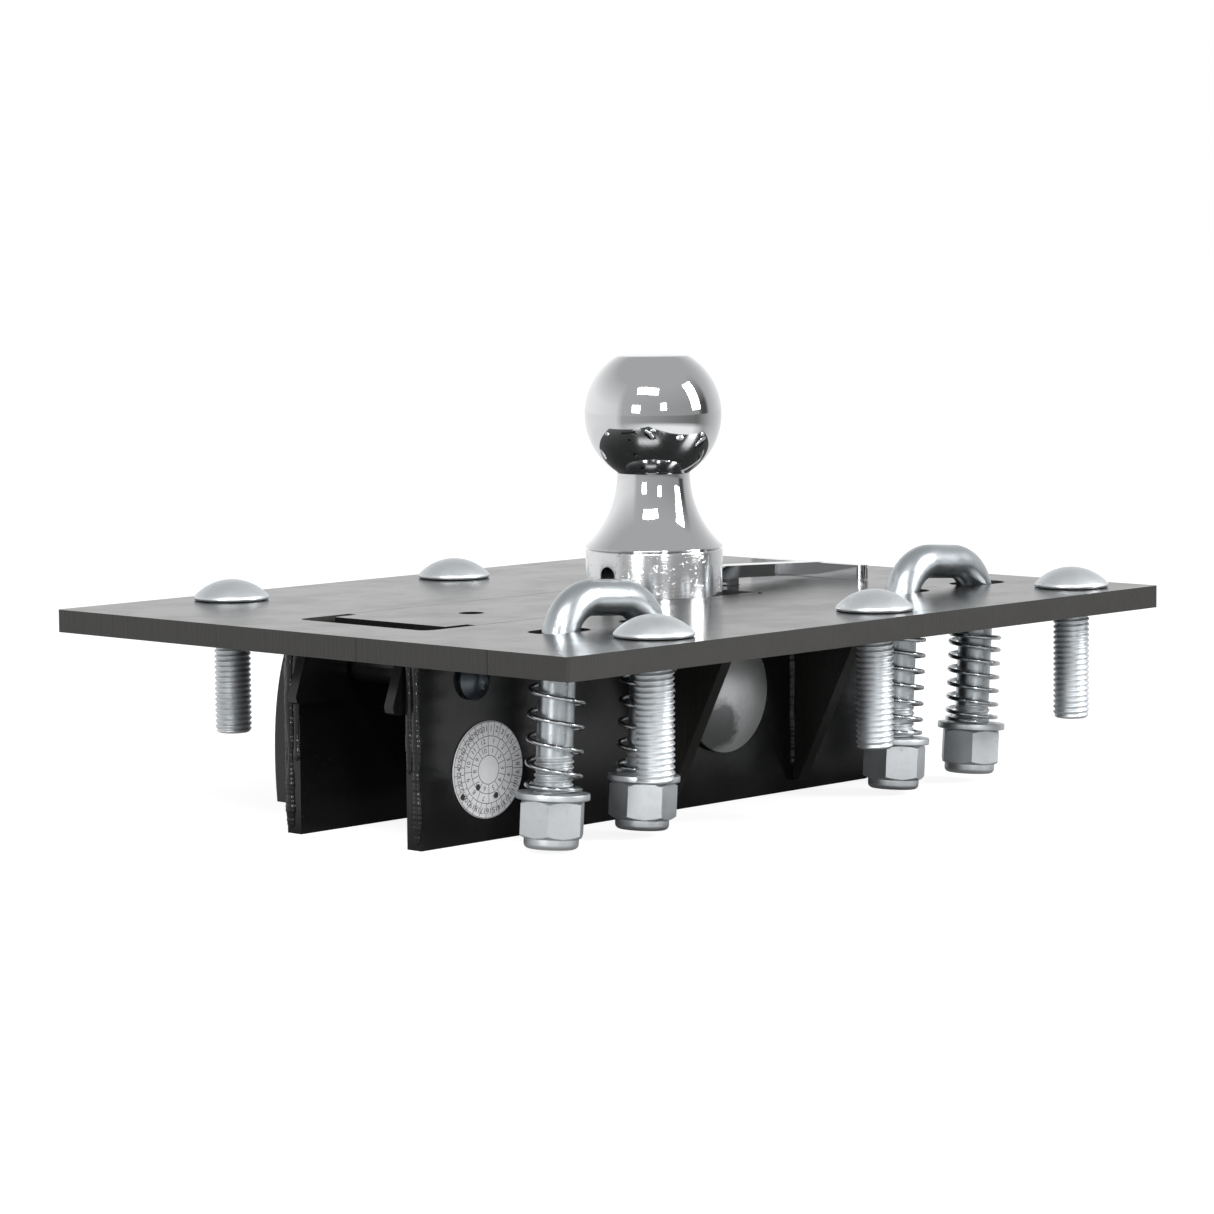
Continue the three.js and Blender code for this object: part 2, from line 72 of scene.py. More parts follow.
COIL = {"wire": 0.95 * MM, "radius": 10.7 * MM, "turns": 7.5, "dead_turns": 0.9, "steps": 330}
FOLD_PIN = {"shank": 15.6 * MM, "reduced": 12 * MM, "rim": 2.4 * MM}
CROSS_BOLT = {"shank": 3.9 * MM, "rim": 1.6 * MM}
SEAT_GAP = 0.3 * MM
AXIS = 1e-6  # a radius that stands for the axis itself
SMOOTH = 96
CUT_MARKS = (-34 * MM, -106 * MM)  # saw marks on the deck's left end, by their place across it
NUT_TURNS = {1: -8, 2: 14, 3: 5, 4: -12}  # degrees


# ---------------------------------------------------------------- meshes
def new_object(name, mesh, material, crease=40):
    mesh.shade_smooth()
    mesh.set_sharp_from_angle(angle=math.radians(crease))
    obj = bpy.data.objects.new(name, mesh)
    bpy.context.scene.collection.objects.link(obj)
    if material:
        mesh.materials.append(material)
    return obj


def from_grid(name, rows, material, closed_rows=True, caps=True, crease=40):
    """A mesh from rows of points, each row a ring; the first and last are capped."""
    mesh = bpy.data.meshes.new(name)
    width = len(rows[0])
    points = [p for row in rows for p in row]
    faces = []
    for i in range(len(rows) - 1):
        for j in range(width if closed_rows else width - 1):
            k = (j + 1) % width
            faces.append((i * width + j, i * width + k, (i + 1) * width + k, (i + 1) * width + j))
    if caps:
        faces.append(tuple(reversed(range(width))))
        faces.append(tuple((len(rows) - 1) * width + j for j in range(width)))
    mesh.from_pydata(points, [], faces)
    bm = bmesh.new()
    bm.from_mesh(mesh)
    bmesh.ops.remove_doubles(bm, verts=bm.verts, dist=1e-7)
    bmesh.ops.recalc_face_normals(bm, faces=bm.faces)
    bm.to_mesh(mesh)
    bm.free()
    return new_object(name, mesh, material, crease)


def lathe(name, profile, material, segments=SMOOTH, crease=30, loop=False):
    """A shape turned about Z from (radius, height) points, open at the axis or a closed loop."""
    turn = [2 * math.pi * j / segments for j in range(segments)]
    rows = [[(r * math.cos(a), r * math.sin(a), z) for a in turn] for r, z in profile]
    if loop:
        rows.append(rows[0])
    return from_grid(name, rows, material, caps=not loop, crease=crease)


def place(obj, matrix):
    obj.data.transform(matrix)
    return obj


def arc(centre, radius, start, end, steps):
    """Points of an arc, with the angles in degrees."""
    points = []
    for i in range(steps + 1):
        a = math.radians(start + (end - start) * i / steps)
        points.append((centre[0] + radius * math.cos(a), centre[1] + radius * math.sin(a)))
    return points


def dome(radius, height, rim, low, steps=16):
    """The profile of a shallow domed head, from its rim in to the axis."""
    rise = height - rim
    sphere = (radius**2 + rise**2) / (2 * rise)
    half = math.degrees(math.asin(radius / sphere))
    cap = arc((0, low + height - sphere), sphere, 90 - half, 90, steps)
    cap[-1] = (AXIS, cap[-1][1])
    return cap


def sweep(name, path, radius, material, sides=24, crease=60, start_axis=None):
    """A round bar along a path of points, with its ends closed."""
    rows = []
    axis = start_axis or Vector((0, 1, 0))
    for i, point in enumerate(path):
        ahead = path[min(i + 1, len(path) - 1)] - path[max(i - 1, 0)]
        ahead.normalize()
        side = (axis - ahead * axis.dot(ahead)).normalized()
        axis = side
        up = ahead.cross(side)
        turn = [2 * math.pi * j / sides for j in range(sides)]
        rows.append([point + (side * math.cos(a) + up * math.sin(a)) * radius for a in turn])
    return from_grid(name, rows, material, crease=crease)


def threaded_rows(low, high, sides=40, rows_per_pitch=8):
    """Rings of a right-handed thread about Z, run out to the core at both ends."""
    pitch, radius, depth = THREAD["pitch"], THREAD["radius"], THREAD["depth"]
    count = max(2, round((high - low) / pitch * rows_per_pitch))
    rows = []
    for i in range(count + 1):
        z = low + (high - low) * i / count
        fade = min(1, (z - low) / (0.7 * pitch), (high - z) / (0.9 * pitch))
        row = []
        for j in range(sides):
            phase = (z / pitch - j / sides) % 1
            valley = max(0, 1 - abs(phase - 0.5) / 0.42)
            r = radius - depth * valley - depth * 0.5 * (1 - max(0, fade)) * (1 - valley)
            a = 2 * math.pi * j / sides
            row.append(Vector((r * math.cos(a), r * math.sin(a), z)))
        rows.append(row)
    return rows


def ring_row(radius, z, sides=40):
    """A level ring of points about Z."""
    turn = [2 * math.pi * j / sides for j in range(sides)]
    return [Vector((radius * math.cos(a), radius * math.sin(a), z)) for a in turn]


def join_objects(name, objects):
    """One object from several that share the world's origin."""
    bm = bmesh.new()
    materials = []
    for obj in objects:
        start = len(bm.faces)
        bm.from_mesh(obj.data)
        bm.faces.ensure_lookup_table()
        for material in obj.data.materials:
            if material not in materials:
                materials.append(material)
        for face in bm.faces[start:]:
            face.material_index = materials.index(obj.data.materials[face.material_index])
    mesh = bpy.data.meshes.new(name)
    bm.to_mesh(mesh)
    bm.free()
    for material in materials:
        mesh.materials.append(material)
    for obj in objects:
        bpy.data.objects.remove(obj)
    joined = bpy.data.objects.new(name, mesh)
    bpy.context.scene.collection.objects.link(joined)
    return joined


def stands_for(obj, body, slot, *nodes):
    """obj rides on the body and replaces the CAD nodes; slot is not used."""
    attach(obj, body)
    if nodes:
        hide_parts(*nodes)
    return obj


def middle(node):
    low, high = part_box(node)
    return (low + high) / 2


def joint(name):
    return next(j for j in frame["record"]["behaviour"]["joints"] if j["name"] == name)


# ---------------------------------------------------------------- materials
class Nodes:
    """A small helper that adds nodes to one new material, or to the world, and links them."""

    def __init__(self, target):
        if isinstance(target, str):
            self.material = bpy.data.materials.new(target)
            self.material.use_nodes = True
            self.tree = self.material.node_tree
            self.shader = self.tree.nodes["Principled BSDF"]
            self.coords = self.tree.nodes.new("ShaderNodeTexCoord").outputs["Object"]
        else:
            self.tree = target.node_tree

    def add(self, kind, inputs=(), **settings):
        node = self.tree.nodes.new(kind)
        for key, value in settings.items():
            setattr(node, key, value)
        for key, value in dict(inputs).items():
            if isinstance(value, bpy.types.NodeSocket):
                self.tree.links.new(value, node.inputs[key])
            else:
                node.inputs[key].default_value = value
        return node

    def noise(self, scale, detail=3.0, rough=0.5, vector=None):
        node = self.add("ShaderNodeTexNoise", {
            "Vector": vector or self.coords, "Scale": scale, "Detail": detail, "Roughness": rough})
        return node.outputs["Fac"]

    def stretch(self, x, y, z):
        return self.add("ShaderNodeMapping", {"Vector": self.coords, "Scale": (x, y, z)}).outputs["Vector"]

    def ramp(self, fac, low, high, a=(0, 0, 0), b=(1, 1, 1)):
        node = self.add("ShaderNodeValToRGB", {"Fac": fac})
        node.color_ramp.elements[0].position = low
        node.color_ramp.elements[1].position = high
        node.color_ramp.elements[0].color = (*a, 1)
        node.color_ramp.elements[1].color = (*b, 1)
        return node.outputs["Color"]

    def mix(self, fac, a, b):
        node = self.add("ShaderNodeMix", data_type="RGBA")
        for key, value in ((0, fac), (6, a), (7, b)):
            if isinstance(value, bpy.types.NodeSocket):
                self.tree.links.new(value, node.inputs[key])
            else:
                node.inputs[key].default_value = value if key == 0 else (*value, 1)
        return node.outputs[2]

    def math(self, operation, a, b=0.0):
        node = self.add("ShaderNodeMath", {0: a, 1: b}, operation=operation)
        return node.outputs[0]

    def bump(self, height, strength, distance, normal=None):
        inputs = {"Height": height, "Strength": strength, "Distance": distance}
        if normal:
            inputs["Normal"] = normal
        return self.add("ShaderNodeBump", inputs).outputs["Normal"]

    def set(self, **values):
        for key, value in values.items():
            socket = self.shader.inputs[key.replace("_", " ")]
            if isinstance(value, bpy.types.NodeSocket):
                self.tree.links.new(value, socket)
            else:
                socket.default_value = value
        return self.material


def powder_coat(name, cut_edges=False):
    """Semi-gloss black powder coat: fine orange peel, faint dust, and saw lines on cut edges."""
    n = Nodes(name)
    peel = n.noise(900, 2)
    dust = n.ramp(n.noise(35, 5, 0.65), 0.42, 0.75)
    specks = n.ramp(n.noise(1600, 2, 0.4), 0.70, 0.76)
    base = n.mix(n.math("MULTIPLY", dust, 0.5), (0.006, 0.006, 0.0062), (0.012, 0.012, 0.0122))
    base = n.mix(n.math("MULTIPLY", specks, 0.3), base, (0.08, 0.08, 0.08))
    rough = n.math("ADD", n.math("MULTIPLY", dust, 0.06), 0.19)
    normal = n.bump(peel, 0.05, 0.0001)
    if cut_edges:
        geometry = n.add("ShaderNodeNewGeometry")
        split = n.add("ShaderNodeSeparateXYZ", {"Vector": geometry.outputs["Normal"]})
        side = n.math("LESS_THAN", n.math("ABSOLUTE", split.outputs["Z"]), 0.6)
        lines = n.noise(1.0, 4, 0.7, n.stretch(900, 900, 25))
        deep = n.ramp(n.noise(1.0, 1, 0.3, n.stretch(60, 60, 1.5)), 0.69, 0.70)
        base = n.mix(n.math("MULTIPLY", side, 0.8), base, (0.024, 0.023, 0.021))
        rough = n.math("ADD", rough, n.math("MULTIPLY", side, 0.22))
        position = n.add("ShaderNodeSeparateXYZ", {"Vector": n.coords})
        left_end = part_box("deck_plate")[0].x + 1 * MM
        on_end = n.math("LESS_THAN", position.outputs["X"], left_end)
        for cut_y in CUT_MARKS:
            away = n.math("ABSOLUTE", n.math("SUBTRACT", position.outputs["Y"], cut_y))
            mark = n.math("MULTIPLY", n.math("LESS_THAN", away, 0.35 * MM), on_end)
            base = n.mix(mark, base, (0.002, 0.002, 0.002))
            deep = n.math("ADD", deep, mark)
        height = n.math("MULTIPLY", n.math("ADD", lines, n.math("MULTIPLY", deep, -0.8)), side)
        normal = n.bump(height, 0.65, 0.0005, normal)
    return n.set(Base_Color=base, Roughness=rough, Normal=normal, Specular_IOR_Level=0.5)


def chrome_plate(name, worn):
    """Bright chrome, with a faint turned grain where it is worn or machined."""
    n = Nodes(name)
    haze = n.noise(60, 4, 0.6)
    rough = n.math("ADD", n.math("MULTIPLY", haze, 0.05 + 0.12 * worn), 0.015 + 0.05 * worn)
    pits = n.ramp(n.noise(420, 3, 0.6), 0.62, 0.72)
    base = n.mix(n.math("MULTIPLY", pits, 0.5 * worn), (0.80, 0.81, 0.82), (0.45, 0.46, 0.47))
    normal = n.bump(n.noise(1.0, 3, 0.5, n.stretch(60, 60, 2600)), 0.05 + 0.2 * worn, 0.0001)
    if worn:
        normal = n.bump(pits, 0.35, 0.0002, normal)
    return n.set(Base_Color=base, Metallic=1.0, Roughness=rough, Normal=normal)


def zinc_plate(name, tint=(0.80, 0.83, 0.85), rough=0.38):
    """Bright zinc plating: bluish, slightly cloudy, with small handling marks."""
    n = Nodes(name)
    cloud = n.ramp(n.noise(90, 5, 0.65), 0.3, 0.7)
    marks = n.ramp(n.noise(320, 4, 0.7), 0.60, 0.74)
    dull = tuple(c * 0.72 for c in tint)
    base = n.mix(n.math("MULTIPLY", cloud, 0.55), tint, dull)
    base = n.mix(n.math("MULTIPLY", marks, 0.45), base, (0.42, 0.45, 0.47))
    roughness = n.math("ADD", n.math("MULTIPLY", cloud, 0.16), rough)
    normal = n.bump(marks, 0.2, 0.00015, n.bump(n.noise(700, 3), 0.12, 0.0001))
    return n.set(Base_Color=base, Metallic=1.0, Roughness=roughness, Normal=normal)


def hot_dip(name):
    """The fold pin's dull forged and galvanised head, with dark rubbed patches."""
    n = Nodes(name)
    cloud = n.ramp(n.noise(55, 6, 0.7), 0.35, 0.7)
    patch = middle("hinge_pin") + Vector((-11, 0, -14)) * MM
    offset = n.add("ShaderNodeVectorMath", {0: n.coords, 1: (patch.x, 0, patch.z)}, operation="SUBTRACT")
    flat = n.add("ShaderNodeVectorMath", {0: offset.outputs["Vector"], 1: (1, 0, 1)}, operation="MULTIPLY")
    reach = n.add("ShaderNodeVectorMath", {0: flat.outputs["Vector"]}, operation="LENGTH").outputs["Value"]
    ragged = n.math("ADD", reach, n.math("MULTIPLY", n.noise(110, 6, 0.7), -0.016))
    rub = n.ramp(n.math("MULTIPLY", ragged, 100), 0.15, 0.55, (1, 1, 1), (0, 0, 0))
    scratch = n.noise(1.0, 5, 0.8, n.stretch(500, 160, 90))
    base = n.mix(cloud, (0.62, 0.63, 0.64), (0.80, 0.81, 0.81))
    base = n.mix(n.math("MULTIPLY", rub, 0.8), base, (0.12, 0.125, 0.13))
    roughness = n.math("ADD", n.math("MULTIPLY", scratch, 0.2), 0.34)
    normal = n.bump(scratch, 0.35, 0.0002)
    return n.set(Base_Color=base, Metallic=0.75, Roughness=roughness, Normal=normal)


def plain(name, colour, roughness, grain=300):
    """A non-metal with a slight mottle in its colour and surface."""
    n = Nodes(name)
    mottle = n.noise(grain, 4, 0.6)
    darker = tuple(c * 0.82 for c in colour)
    rough = n.math("ADD", n.math("MULTIPLY", mottle, 0.1), roughness - 0.05)
    base = n.mix(mottle, darker, colour)
    return n.set(Base_Color=base, Roughness=rough, Normal=n.bump(mottle, 0.1, 0.0001))


COAT = powder_coat("black_powder_coat")
CUT_COAT = powder_coat("black_powder_coat_cut", cut_edges=True)
CHROME = chrome_plate("chrome_polished", 0)
WORN_CHROME = chrome_plate("chrome_machined", 1)
ZINC = zinc_plate("zinc_bright")
DARK_ZINC = zinc_plate("zinc_dark", (0.10, 0.115, 0.13), 0.22)
ZINC_BAR = zinc_plate("zinc_bar", (0.58, 0.62, 0.645), 0.24)
HOT_DIP = hot_dip("zinc_hot_dip")
SPRING = zinc_plate("zinc_wire", (0.70, 0.73, 0.75), 0.16)
VINYL = plain("label_vinyl", (0.93, 0.93, 0.95), 0.42)
INK = plain("label_ink", (0.03, 0.03, 0.032), 0.5)
NYLON = plain("nylon", (0.55, 0.56, 0.56), 0.45)


# ---------------------------------------------------------------- stage
# Each softbox: across, up and toward the camera, then distance, width, height and watts.
SOFTBOXES = {
    "window": (0.857, 0.40, 0.214, 1.7, 0.50, 1.1, 27),
    "strip": (-0.13, 0.605, 0.785, 1.9, 1.1, 0.36, 22),
    "lamp_left": (-0.48, 0.12, 0.87, 2.2, 0.50, 0.45, 12),
    "lamp_right": (0.30, 0.18, 0.94, 2.2, 0.34, 0.42, 10),
}


def camera_and_light():
    data = bpy.data.cameras.new("camera")
    data.lens = CAMERA["lens"]
    data.sensor_width = 36
    camera = bpy.data.objects.new("camera", data)
    bpy.context.scene.collection.objects.link(camera)
    a, e, roll = (math.radians(CAMERA[k]) for k in ("azimuth", "elevation", "roll"))
    back = Vector((math.sin(a) * math.cos(e), -math.cos(a) * math.cos(e), math.sin(e)))
    right = Vector((math.cos(a), math.sin(a), 0))
    up = back.cross(right)
    turned_right = right * math.cos(roll) + up * math.sin(roll)
    turned_up = up * math.cos(roll) - right * math.sin(roll)
    turn = Matrix((turned_right, turned_up, back)).transposed().to_4x4()
    camera.matrix_world = Matrix.Translation(CAMERA_AIM + back * CAMERA["distance"]) @ turn
    data.clip_end = 60
    bpy.context.scene.camera = camera

    def softbox(name, across, height, towards, distance, width, tall, power):
        """A soft light in the direction given in the camera's own right, up and back parts."""
        light = bpy.data.lights.new(name, "AREA")
        light.shape = "RECTANGLE"
        light.size, light.size_y, light.energy = width, tall, power
        obj = bpy.data.objects.new(name, light)
        bpy.context.scene.collection.objects.link(obj)
        where = (right * across + up * height + back * towards).normalized()
        obj.location = Vector((0, 0, 0.12)) + where * distance
        obj.rotation_euler = where.to_track_quat("Z", "Y").to_euler()

    for name, placing in SOFTBOXES.items():
        softbox(name, *placing)
    studio(right, -Vector((back.x, back.y, 0)).normalized())
    floor(right, Vector((back.x, back.y, 0)).normalized())
    bpy.context.scene.view_settings.view_transform = "Standard"


def around(n, vector, right, away):
    """How far round a direction lies: 0 behind the object, 0.5 at the camera, 1 behind again."""
    across = n.add("ShaderNodeVectorMath", {0: vector, 1: right}, operation="DOT_PRODUCT").outputs["Value"]
    near = n.add("ShaderNodeVectorMath", {0: vector, 1: -away}, operation="DOT_PRODUCT").outputs["Value"]
    return n.math("ADD", n.math("DIVIDE", n.math("ARCTAN2", across, near), 2 * math.pi), 0.5)


def grey_stops(n, fac, stops):
    """A ramp through (degrees round from the camera, grey level) stops."""
    node = n.add("ShaderNodeValToRGB", {"Fac": fac})
    ramp = node.color_ramp
    for i, (degrees, level) in enumerate(stops):
        position = degrees / 360 + 0.5
        stop = ramp.elements[i] if i < 2 else ramp.elements.new(position)
        stop.position, stop.color = position, (level, level, level, 1)
    return node.outputs["Color"]


def studio(right, away):
    """White behind the object, a light wall on the left and a dim room behind the camera."""
    world = bpy.data.worlds.new("studio")
    world.use_nodes = True
    n = Nodes(world)
    n.tree.nodes.clear()
    direction = n.add("ShaderNodeTexCoord").outputs["Generated"]
    turn = around(n, direction, right, away)
    walls = grey_stops(n, turn, (
        (-180, 1.0), (180, 1.0), (-125, 0.92), (-66, 0.74), (-54, 0.46), (-10, 0.40),
        (40, 0.36), (82, 0.32), (90, 0.08), (101, 0.08), (109, 0.45), (140, 0.72)))
    height = n.add("ShaderNodeSeparateXYZ", {"Vector": direction}).outputs["Z"]
    up = n.add("ShaderNodeMapRange", {"Value": height, "From Min": 0.22, "From Max": 0.75}, clamp=True)
    light = n.mix(up.outputs["Result"], walls, (0.44, 0.445, 0.45))
    room = n.add("ShaderNodeBackground", {"Color": light, "Strength": 1.0}).outputs["Background"]
    white = n.add("ShaderNodeBackground", {"Color": (1, 1, 1, 1), "Strength": 1.0}).outputs["Background"]
    seen = n.add("ShaderNodeLightPath").outputs["Is Camera Ray"]
    shown = n.add("ShaderNodeMixShader", {0: seen, 1: room, 2: white}).outputs["Shader"]
    n.add("ShaderNodeOutputWorld", {"Surface": shown})
    bpy.context.scene.world = world


def floor(right, toward):
    """White paper with a faint shadow; only its near part throws light back onto the object, as a painted
    glow with a painted shadow beneath the object.
    """
    mesh = bpy.data.meshes.new("floor")
    reach = 14
    corners = [(-reach, -reach, 0), (reach, -reach, 0), (reach, reach, 0), (-reach, reach, 0)]
    mesh.from_pydata(corners, [], [(0, 1, 2, 3)])
    n = Nodes("floor_paper")
    paper = n.mix(n.noise(3, 2), (0.30, 0.30, 0.30), (0.32, 0.32, 0.32))
    diffuse = n.add("ShaderNodeBsdfDiffuse", {"Color": paper}).outputs["BSDF"]
    glow = n.add("ShaderNodeEmission", {"Color": (1, 1, 1, 1), "Strength": 0.87}).outputs["Emission"]
    shown = n.add("ShaderNodeAddShader", {0: diffuse, 1: glow}).outputs["Shader"]
    turn = around(n, n.coords, right, -toward)
    # Painted light, seen only in reflections: the floor's glow is brighter or darker by direction, near and
    # far, and dark in a painted shadow beneath the object.
    sides = grey_stops(n, turn, (
        (-180, 0.85), (180, 0.85), (-66, 0.72), (-54, 0.52), (-25, 0.72),
        (-5, 0.98), (72, 0.98), (95, 0.40), (120, 0.6)))
    far = grey_stops(n, turn, (
        (-180, 0.95), (180, 0.95), (-66, 0.72), (-54, 0.4), (10, 0.3), (80, 0.16), (115, 0.5)))
    distance = n.add("ShaderNodeVectorMath", {0: n.coords}, operation="LENGTH").outputs["Value"]
    beyond = n.add("ShaderNodeMapRange", {"Value": distance, "From Min": 0.5, "From Max": 0.8}, clamp=True)
    painted_shadow_fade = n.add("ShaderNodeMapRange", {"Value": distance, "From Min": 0.13, "From Max": 0.25}, clamp=True)
    painted_light_and_shadow = n.mix(painted_shadow_fade.outputs["Result"], (0.06, 0.06, 0.06), n.mix(beyond.outputs["Result"], sides, far))
    bounce = n.add("ShaderNodeEmission", {"Color": painted_light_and_shadow})
    seen = n.add("ShaderNodeLightPath").outputs["Is Camera Ray"]
    mixed = n.add("ShaderNodeMixShader", {0: seen, 1: bounce.outputs["Emission"], 2: shown})
    n.tree.links.new(mixed.outputs["Shader"], n.tree.nodes["Material Output"].inputs["Surface"])
    n.tree.nodes.remove(n.shader)
    new_object("floor", mesh, n.material)


# ---------------------------------------------------------------- CAD nodes kept as they are
def dress(node, material, bevel=0.4 * MM):
    """Gives a CAD node its material and softens its edges."""
    obj = frame["nodes"][node]
    obj.data.materials.clear()
    obj.data.materials.append(material)
    if bevel:
        soft = obj.modifiers.new("edge", "BEVEL")
        soft.width = bevel
        soft.segments = 2
        soft.limit_method = "ANGLE"
        soft.angle_limit = math.radians(35)
        soft.harden_normals = False
    return obj


def dress_cad_nodes():
    dress("deck_plate", CUT_COAT, 0.5 * MM)
    dress("slot_cover", COAT, 0.5 * MM)
    for side in ("near", "far"):
        dress(f"rail_{side}", COAT)
        dress(f"gusset_{side}_left", CUT_COAT)
        dress(f"gusset_{side}_right", CUT_COAT)
        dress(f"end_tab_{side}", COAT, 1.2 * MM)
        dress(f"lock_ear_{side}", COAT)
    dress("end_stiffener", COAT, 1.2 * MM)
    dress("cross_sleeve", COAT, 0)
    dress("ball_block", HOT_DIP, 0.6 * MM)
    dress("lock_lever", CHROME, 0.7 * MM)
    for node in ("cross_nut", "hinge_pin_nut", "lock_pin"):
        dress(node, ZINC, 0.5 * MM)
    dress("lock_spring", SPRING, 0)


# ---------------------------------------------------------------- ball
def cut_with(obj, cutter):
    """Cuts one shape out of another, which keeps sharp edges at the cut."""
    cutting = obj.modifiers.new("cut", "BOOLEAN")
    cutting.object = cutter
    cutting.solver = "EXACT"
    bpy.context.view_layer.update()
    result = obj.evaluated_get(bpy.context.evaluated_depsgraph_get())
    mesh = bpy.data.meshes.new_from_object(result)
    obj.modifiers.clear()
    obj.data = mesh
    mesh.set_sharp_from_angle(angle=math.radians(30))
    bpy.data.objects.remove(cutter)


def tow_ball():
    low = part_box("tow_ball")[0]
    axis = middle("tow_ball")
    deck_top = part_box("deck_plate")[1].z
    edge = 1.0 * MM
    bottom = low.z - deck_top
    top = BALL_HEIGHTS["base_top"]
    base = [(AXIS, bottom), (BALL["base"] - edge, bottom), (BALL["base"], bottom + edge)]
    base += arc((BALL["base"] - edge, top - edge), edge, 0, 90, 4)
    flare_centre = (BALL["neck"] + BALL["flare"], BALL_HEIGHTS["flare_top"])
    flare_low = math.degrees(math.asin((BALL_HEIGHTS["flare_top"] - top - 0.9 * MM) / BALL["flare"]))
    flare = arc(flare_centre, BALL["flare"], 180 + flare_low, 180, 22)
    centre = BALL_HEIGHTS["centre"]
    low_angle = -math.degrees(math.acos(BALL["neck"] / BALL["radius"]))
    high_angle = math.degrees(math.asin(BALL_HEIGHTS["flat"] / BALL["radius"]))
    sphere = arc((0, centre), BALL["radius"], low_angle + 1.6, high_angle - 1, 60)
    crown_top = centre + BALL_HEIGHTS["flat"]
    crown = [(sphere[-1][0] - 0.7 * MM, crown_top), (AXIS, crown_top)]
    profile = base + flare + sphere + crown
    ball = lathe("ball_chrome", profile, CHROME, crease=35)
    reach = 40 * MM
    bore = [(AXIS, -reach), (BAR_HOLE["radius"], -reach), (BAR_HOLE["radius"], reach), (AXIS, reach)]
    hole = lathe("bar_hole", bore, CHROME, 32)
    place(hole, Matrix.Translation((0, 0, BAR_HOLE["height"])) @ Matrix.Rotation(math.pi / 2, 4, "Y"))
    cut_with(ball, hole)
    ball.data.materials.append(WORN_CHROME)
    for face in ball.data.polygons:
        if face.center.z < BALL_HEIGHTS["base_top"] - 0.2 * MM:
            face.material_index = 1
    place(ball, Matrix.Translation((axis.x, axis.y, deck_top)))
    stands_for(ball, "ball", "chrome_plate", "tow_ball")


# ---------------------------------------------------------------- bolts, nuts and washers
def carriage_bolt(node):
    """A domed head, a square neck and a threaded shank."""
    low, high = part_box(node)
    where = middle(node)
    head_radius = (high.x - low.x) / 2
    head_low = high.z - BOLT["head"]
    length = head_low - low.z
    head = [(THREAD["radius"], 0), (head_radius - 0.4 * MM, 0), (head_radius, 0.5 * MM)]
    head += dome(head_radius, BOLT["head"], BOLT["rim"], 0)
    top = lathe("head", [(AXIS, -1 * MM), (THREAD["radius"] - 1 * MM, -1 * MM)] + head, ZINC, 72, 50)
    rows = [ring_row(AXIS, -length), ring_row(THREAD["radius"] - 1.6 * MM, -length)]
    rows += threaded_rows(-length + 0.6 * MM, -9 * MM)
    rows += [ring_row(THREAD["radius"] - 0.5 * MM, -0.2 * MM), ring_row(AXIS, -0.2 * MM)]
    shank = from_grid("shank", rows, ZINC, caps=False, crease=50)
    neck_size = (2 * BOLT["neck_half"], 2 * BOLT["neck_half"], BOLT["neck_depth"], 1)
    neck_mesh = bpy.data.meshes.new("neck")
    bm = bmesh.new()
    bmesh.ops.create_cube(bm, size=1, matrix=Matrix.Diagonal(neck_size))
    bmesh.ops.bevel(bm, geom=list(bm.edges), offset=1 * MM, segments=2, affect="EDGES")
    bmesh.ops.translate(bm, verts=bm.verts, vec=(0, 0, -3.9 * MM))
    bm.to_mesh(neck_mesh)
    bm.free()
    neck = new_object("neck", neck_mesh, ZINC)
    bolt = join_objects(f"{node}_detail", [top, shank, neck])
    place(bolt, Matrix.Translation((where.x, where.y, head_low)))
    stands_for(bolt, "frame", "zinc_plate", node)


def lean_matrix(loop):
    """Turns +Z onto the direction in which the U-bolt slides."""
    axis = Vector(joint(f"chain_loop_{loop}_lift")["axis"])
    return Vector((0, 0, 1)).rotation_difference(axis).to_matrix().to_4x4()


def hex_nut(name, across_flats, height, collar, collar_height, bore, material):
    """A chamfered hex nut from z = 0 up, with a rolled collar for its nylon ring on top."""
    sides = 96
    corner = across_flats / math.sqrt(3)
    chamfer = corner - across_flats / 2

    def hex_radius(a):
        return across_flats / 2 / math.cos((a + math.pi / 6) % (math.pi / 3) - math.pi / 6)

    def hex_row(z, limit):
        row = []
        for j in range(sides):
            a = 2 * math.pi * j / sides
            r = min(hex_radius(a), limit)
            row.append(Vector((r * math.cos(a), r * math.sin(a), z)))
        return row

    rise = chamfer * 0.6
    collar_edge = 2 * MM
    rows = [ring_row(bore, 1 * MM, sides), ring_row(bore + 0.8 * MM, 0, sides)]
    rows.append(ring_row(across_flats / 2 - 0.4 * MM, 0, sides))
    for i in range(5):
        rows.append(hex_row(rise * i / 4, across_flats / 2 + chamfer * (i / 4) + 1e-5))
    for i in range(5):
        z = height - rise * (1 - i / 4)
        rows.append(hex_row(z, across_flats / 2 + chamfer * (1 - i / 4) + 1e-5))
    if collar_height:
        full = height + collar_height
        rolled = arc((collar - collar_edge, full - collar_edge), collar_edge, 0, 90, 6)
        for r, z in [(collar, height + 0.4 * MM)] + rolled:
            rows.append(ring_row(r, z, sides))
        rows.append(ring_row(bore + 0.6 * MM, full - 0.8 * MM, sides))
        rows.append(ring_row(bore, full - 1.2 * MM, sides))
    else:
        rows.append(ring_row(bore + 0.8 * MM, height, sides))
        rows.append(ring_row(bore, height - 0.8 * MM, sides))
    rows.append(rows[0])
    return from_grid(name, rows, material, caps=False, crease=28)


